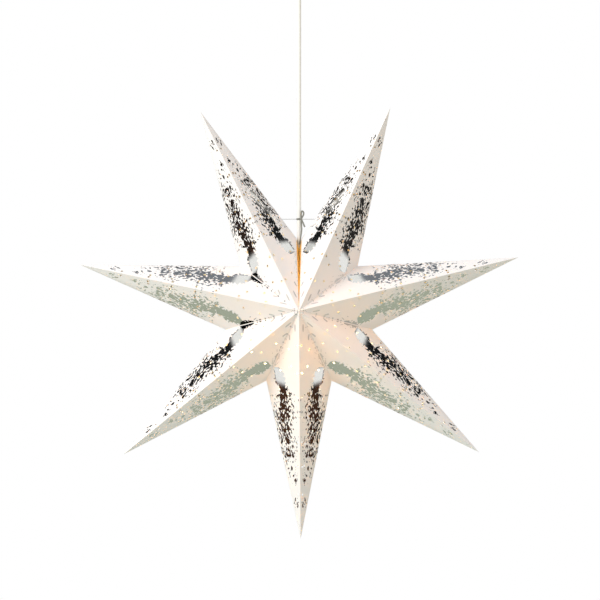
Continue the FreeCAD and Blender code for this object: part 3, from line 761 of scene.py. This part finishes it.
def string_turn(level):
    """Points of one turn of string round the cable."""
    radius = CABLE_DIAMETER / 2 + STRING_GAP + STRING_RADIUS
    turns = [math.tau * step / 12 for step in range(12)]
    return [(radius * math.cos(turn), radius * math.sin(turn), level) for turn in turns]


# Each run of string: whether it closes on itself, how much the plies swell, and its points.
string_runs = [
    (False, 0.6, [(-STRING_END, 0, 0), (-0.015, 0, -0.0003), (-0.0035, 0, 0)]),
    (False, 0.6, [(0.0035, 0, 0), (0.015, 0, -0.0003), (STRING_END, 0, 0)]),
    (True, 1.0, string_turn(-STRING_PITCH / 2)),
    (True, 1.0, string_turn(STRING_PITCH / 2)),
    (False, 1.0, [(0.0020, -0.0030, 0), (0.0025, -0.0040, 0), BOW_KNOT]),
    (False, BOW_SWELL, [BOW_KNOT, (0.0028, BOW_FRONT, 0.0050), (0.0032, BOW_FRONT, 0.0108),
                        (0.0058, BOW_FRONT, 0.0102), (0.0066, BOW_FRONT, 0.0064),
                        (0.0044, BOW_FRONT, 0.0026), BOW_KNOT]),
    (False, BOW_SWELL, [BOW_KNOT, (0.0050, BOW_FRONT, -0.0040), (0.0078, BOW_FRONT, -0.0110)]),
    (False, 1.8, [BOW_KNOT, (0.0034, BOW_FRONT, -0.0080), (0.0040, BOW_FRONT, -0.0170),
                  (0.0004, BOW_FRONT, -0.0345)]),
]
string_curve = bpy.data.curves.new("tie_string", "CURVE")
string_curve.dimensions = "3D"
for closed, swell, run in string_runs:
    line = string_curve.splines.new("NURBS")
    line.points.add(len(run) - 1)
    for point, (px, py, pz) in zip(line.points, run):
        point.co = (px, py, pz + STRING_HEIGHT, 1.0)
        point.radius = swell
    line.order_u = 3
    line.use_endpoint_u = not closed
    line.use_cyclic_u = closed
string_curve.bevel_depth = STRING_RADIUS
string_curve.bevel_resolution = 3
string_curve.use_fill_caps = True
string_curve.resolution_u = 8
bow = bpy.data.objects.new("tie_bow", string_curve)
bpy.context.scene.collection.objects.link(bow)
bpy.ops.object.select_all(action="DESELECT")
bow.select_set(True)
bpy.context.view_layer.objects.active = bow
bpy.ops.object.convert(target="MESH")
knots = [((-STRING_END, 0, 0), KNOT_RADIUS), ((STRING_END, 0, 0), KNOT_RADIUS), (BOW_KNOT, BOW_KNOT_RADIUS)]
knot_parts = [bow]
for (kx, ky, kz), knot_radius in knots:
    bpy.ops.mesh.primitive_uv_sphere_add(segments=16, ring_count=10, radius=knot_radius)
    knot = bpy.context.object
    knot.data.transform(Matrix.Translation((kx, ky, kz + STRING_HEIGHT)))
    knot_parts.append(knot)
bpy.ops.object.select_all(action="DESELECT")
for part in knot_parts:
    part.select_set(True)
bpy.context.view_layer.objects.active = bow
bpy.ops.object.join()
bow.data.materials.clear()
bow.data.materials.append(cotton_twist())
for face in bow.data.polygons:
    face.use_smooth = True
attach(bow, "pendant")
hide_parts("tie_string")

# Ceiling plate, hook and hanger
# Pressed steel disc with a screw hook held by a nut, zinc plated all over, and a moulded
# hanger that clamps the cable with a plastic screw and swings on the hook.
for steel_part in ("ceiling_plate", "ceiling_hook", "hook_nut"):
    dress(steel_part, ZINC)
for hanger_part in ("cord_hanger", "clamp_screw"):
    dress(hanger_part, WHITE_PLASTIC)

# Terminal block
# Half-clear moulded polyamide round two brass tubes, each with its zinc-plated screws; it
# joins the cable's cores to the supply.


def clear_polyamide():
    """Moulded natural polyamide: milky and half clear, with a gloss that varies every 4 mm."""
    made, tree = new_material("clear_polyamide")
    place = add_node(tree, "ShaderNodeTexCoord")
    haze = add_node(tree, "ShaderNodeTexNoise", Vector=place.outputs["Object"], Scale=260.0, Detail=2.0)
    gloss = add_node(tree, "ShaderNodeMapRange", Value=haze.outputs["Fac"], From_Min=0.3, From_Max=0.7,
                     To_Min=0.28, To_Max=0.42)
    body = add_node(tree, "ShaderNodeBsdfPrincipled", Base_Color=linear("#e9ebe4"),
                    Roughness=gloss.outputs[0], IOR=1.53, Transmission_Weight=0.35)
    add_node(tree, "ShaderNodeOutputMaterial", Surface=body.outputs[0])
    return made


dress("terminal_block", clear_polyamide())
dress("terminal_tubes", BRASS)
dress("terminal_screws", ZINC)

# Ceiling cup and cable lock
# Moulded white cup that slides up the cable over hook and terminals; a split lock with a nut
# and a small steel screw grips the cable below it.
for cup_part in ("ceiling_cup", "cable_lock", "lock_nut"):
    dress(cup_part, WHITE_PLASTIC)
dress("lock_screw", ZINC)

# Studio
# White backdrop, a pale floor that only bounces light up, a large key light from the upper
# left and a weaker one behind. The foil mirrors a room of its own: dark at mid height and
# above, brown lower down, with a grey ceiling and a bright wall in front of the star.
FLOOR_SIZE = 3.0
FLOOR_LEVEL = -1.35
ROOM_BANDS = (
    (0.0, "#a9b09e"), (0.18, "#a9b09e"), (0.28, "#754322"), (0.36, "#4a2a16"),
    (0.44, "#171614"), (0.86, "#151618"), (0.93, "#747980"), (1.0, "#7c8187"),
)


def pale_floor():
    """Matt painted floor."""
    made, tree = new_material("pale_floor")
    paint = add_node(tree, "ShaderNodeBsdfPrincipled", Base_Color=linear("#bcc4b9"), Roughness=0.8)
    add_node(tree, "ShaderNodeOutputMaterial", Surface=paint.outputs[0])
    return made


bpy.ops.object.select_all(action="DESELECT")
bpy.ops.mesh.primitive_plane_add(size=FLOOR_SIZE, location=(0, 0, FLOOR_LEVEL))
floor = bpy.context.object
floor.name = "studio_floor"
floor.data.materials.append(pale_floor())
floor.visible_camera = False
floor.visible_glossy = False


def mirrored_room(tree, way, height):
    """What the foil sees: bands of the room by height, and the bright wall in front."""
    room = add_node(tree, "ShaderNodeValToRGB", Fac=height)
    ramp = room.color_ramp
    ramp.elements[0].color = linear(ROOM_BANDS[0][1])
    ramp.elements[1].color = linear(ROOM_BANDS[-1][1])
    for spot, code in ROOM_BANDS[1:-1]:
        ramp.elements.new(spot).color = linear(code)
    facing = add_node(tree, "ShaderNodeMapRange", Value=way.outputs["Y"], From_Min=0.06, From_Max=-0.12)
    above = add_node(tree, "ShaderNodeMapRange", Value=way.outputs["Z"], From_Min=-0.75, From_Max=-0.35)
    wall = add_node(tree, "ShaderNodeMath", {"operation": "MULTIPLY"}, _0=facing.outputs[0],
                    _1=above.outputs[0])
    around = add_node(tree, "ShaderNodeMix", {"data_type": "RGBA"}, Factor=wall.outputs[0],
                      _6=room.outputs[0], _7=linear("#f4f5f3"))
    return add_node(tree, "ShaderNodeBackground", Color=around.outputs[2], Strength=1.0)


def soft_daylight(tree, way, height):
    """Light from all sides: bluish white above, warm white low on the left, straw low on the right."""
    side = add_node(tree, "ShaderNodeMapRange", Value=way.outputs["X"], From_Min=-0.1, From_Max=0.9)
    low = add_node(tree, "ShaderNodeMix", {"data_type": "RGBA"}, Factor=side.outputs[0],
                   _6=linear("#f8f6ea"), _7=linear("#eed8ac"))
    tint = add_node(tree, "ShaderNodeMix", {"data_type": "RGBA"}, Factor=height,
                    _6=low.outputs[2], _7=linear("#f3f4fb"))
    power = add_node(tree, "ShaderNodeMapRange", Value=way.outputs["Z"], From_Min=-0.5, From_Max=0.9,
                     To_Min=0.89, To_Max=0.96)
    return add_node(tree, "ShaderNodeBackground", Color=tint.outputs[2], Strength=power.outputs[0])


def studio_world():
    """White where the camera looks past the lamp, the room in mirrors, soft light elsewhere."""
    world = bpy.data.worlds.new("studio")
    world.use_nodes = True
    tree = world.node_tree
    tree.nodes.clear()
    place = add_node(tree, "ShaderNodeTexCoord")
    way = add_node(tree, "ShaderNodeSeparateXYZ", Vector=place.outputs["Generated"])
    height = add_node(tree, "ShaderNodeMapRange", Value=way.outputs["Z"], From_Min=-1.0, From_Max=1.0)
    room = mirrored_room(tree, way, height.outputs[0])
    daylight = soft_daylight(tree, way, height.outputs[0])
    backdrop = add_node(tree, "ShaderNodeBackground", Color=(1, 1, 1, 1), Strength=1.0)
    rays = add_node(tree, "ShaderNodeLightPath")
    lit = add_node(tree, "ShaderNodeMixShader", Fac=rays.outputs["Is Diffuse Ray"],
                   _1=room.outputs[0], _2=daylight.outputs[0])
    seen = add_node(tree, "ShaderNodeMixShader", Fac=rays.outputs["Is Camera Ray"],
                    _1=lit.outputs[0], _2=backdrop.outputs[0])
    add_node(tree, "ShaderNodeOutputWorld", Surface=seen.outputs[0])
    return world


bpy.context.scene.world = studio_world()


LIGHT_SIZE = 1.6
KEY_POWER = 90.0
BACK_POWER = 40.0


def soft_box(name, place, power):
    """Square white soft box aimed at the star, which the foil doesn't mirror."""
    data = bpy.data.lights.new(name, "AREA")
    data.energy = power
    data.size = LIGHT_SIZE
    lamp = bpy.data.objects.new(name, data)
    bpy.context.scene.collection.objects.link(lamp)
    lamp.location = place
    lamp.rotation_euler = (STAR_CENTRE - Vector(place)).to_track_quat("-Z", "Y").to_euler()
    lamp.visible_glossy = False


soft_box("key_light", (-2.6, -2.2, 1.2), KEY_POWER)
soft_box("back_light", (-2.0, 2.6, 1.0), BACK_POWER)

bpy.context.scene.view_settings.view_transform = "Standard"
